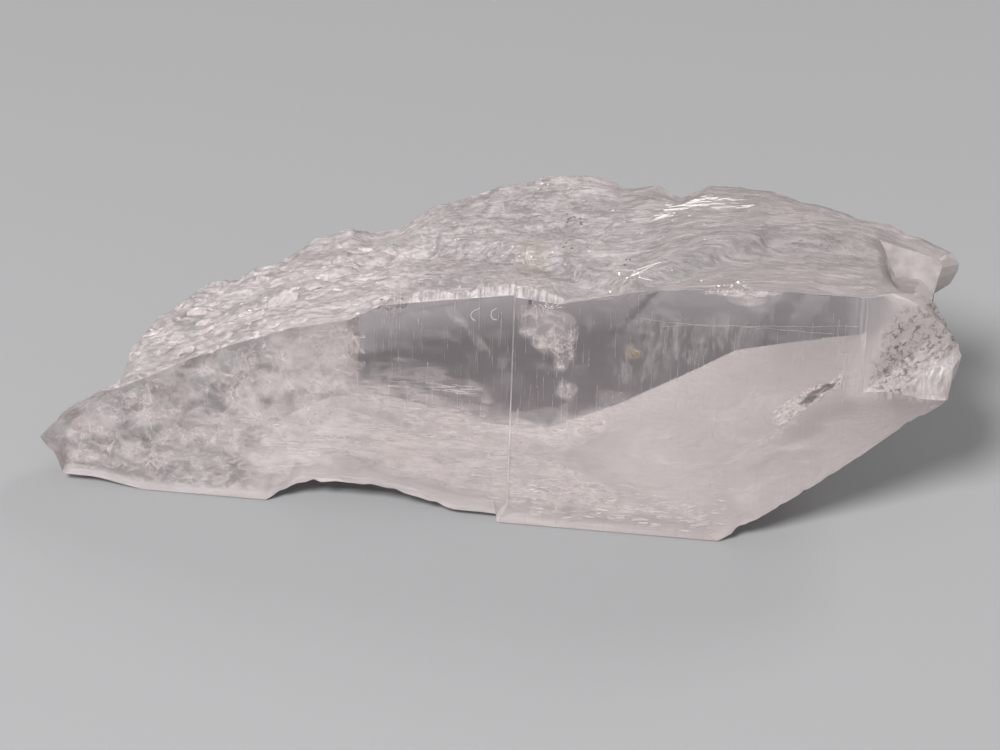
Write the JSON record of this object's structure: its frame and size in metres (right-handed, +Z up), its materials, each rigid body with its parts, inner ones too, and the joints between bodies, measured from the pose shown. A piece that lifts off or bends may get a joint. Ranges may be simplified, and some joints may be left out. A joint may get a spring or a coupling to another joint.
{
  "type": "selenite crystal blade",
  "caption": "Broken blade of clear selenite: a leaning stack of flat cleavage sheets with a ragged top, a chipped end and a bevelled corner, lying on its lower edge.",
  "frame": {"origin": "centre of the bounding rectangle on the surface the blade rests on", "axes": "+X along the blade towards the chipped right end, +Y back through the sheets, +Z up"},
  "size_m": [0.0994, 0.0284, 0.0298],
  "materials": {
    "crystal": "glassy on the flat front and back, frosted and fibrous on the broken faces"
  },
  "bodies": {
    "root": {"selenite_blade": "crystal"}
  },
  "joints": []
}
